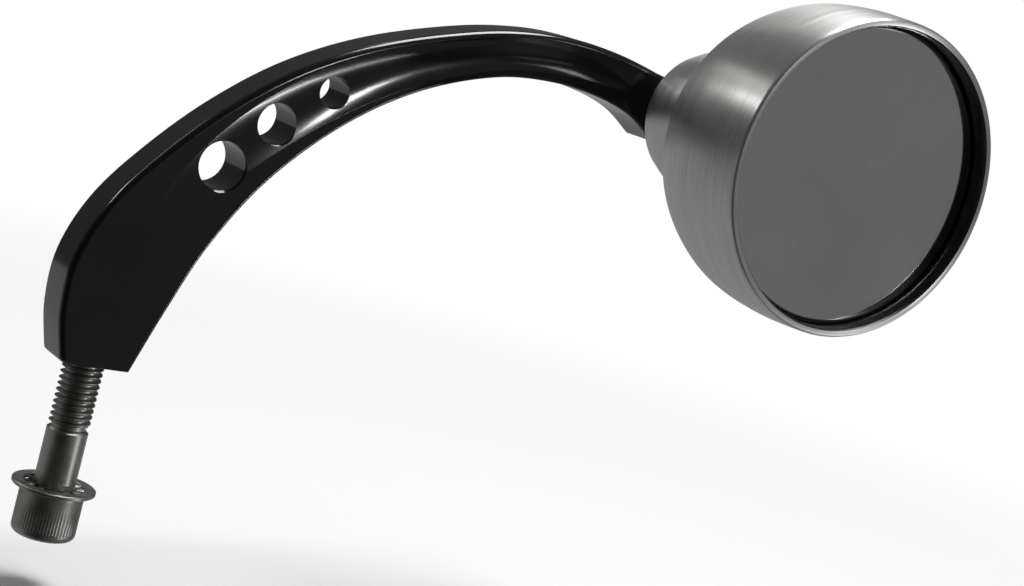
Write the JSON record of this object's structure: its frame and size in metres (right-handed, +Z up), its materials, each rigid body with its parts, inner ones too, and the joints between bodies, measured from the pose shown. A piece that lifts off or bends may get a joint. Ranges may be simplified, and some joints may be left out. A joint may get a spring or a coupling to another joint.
{
  "type": "handlebar mirror",
  "caption": "Round turned mirror on a curved, drilled flat arm that bolts up through a handlebar lever perch.",
  "frame": {"origin": "centre of the arm's base face, on the mounting bolt's axis", "axes": "+Z up along the bolt into the arm, +X towards the mirror head in the arm's flat plane, -Y the way the glass looks"},
  "size_m": [0.1986, 0.0992, 0.1723],
  "materials": {
    "black_anodised": "gloss black anodised",
    "steel": "plain, slightly dull",
    "brushed_aluminium": "turned and brushed around its axis",
    "mirror_face": "tinted mirror glass",
    "rubber": "matt",
    "acetal": "moulded, satin",
    "foam": "matt closed-cell foam",
    "spring_steel": "blued"
  },
  "bodies": {
    "arm": {"arm": "black_anodised", "ball_stud": "steel", "stud_washer": "steel", "stud_nut": "steel"},
    "clamp_washer": {"lock_washer": "steel"},
    "bolt": {"mounting_bolt": "steel"},
    "jacket": {"ball_jacket": "acetal"},
    "socket": {"rear_seat": "acetal", "front_cup": "acetal"},
    "head": {"head_shell": "brushed_aluminium", "disc_spring_1": "spring_steel", "disc_spring_2": "spring_steel", "adjuster_plug": "steel", "glass_carrier": "black_anodised", "carrier_screw_1": "steel", "carrier_screw_2": "steel", "carrier_screw_3": "steel", "adhesive_pad": "foam", "mirror_glass": "mirror_face", "glass_seal": "rubber"}
  },
  "joints": [
    {"name": "bolt_advance", "type": "slide", "parent": "arm", "child": "clamp_washer", "axis": [0, 0, 1], "range_m": [-0.012, 0.016]},
    {"name": "bolt_turn", "type": "hinge", "parent": "clamp_washer", "child": "bolt", "pos_m": [0, 0, -0.03], "axis": [0, 0, 1], "range_deg": [-2885, 3845]},
    {"name": "head_pan", "type": "hinge", "parent": "arm", "child": "jacket", "pos_m": [0.1483, -0.02355, 0.09045], "axis": [0, 0, 1], "range_deg": [-10, 10]},
    {"name": "head_tilt", "type": "hinge", "parent": "jacket", "child": "socket", "pos_m": [0.1483, -0.02355, 0.09045], "axis": [1, 0, 0], "range_deg": [-10, 10]},
    {"name": "head_spin", "type": "hinge", "parent": "socket", "child": "head", "pos_m": [0.1483, -0.02355, 0.09045], "axis": [-0.022, -0.9995, -0.0248], "continuous": true}
  ],
  "couplings": [
    {"joint": "bolt_turn", "follows": "bolt_advance", "rad_per_m": 4188.8}
  ]
}
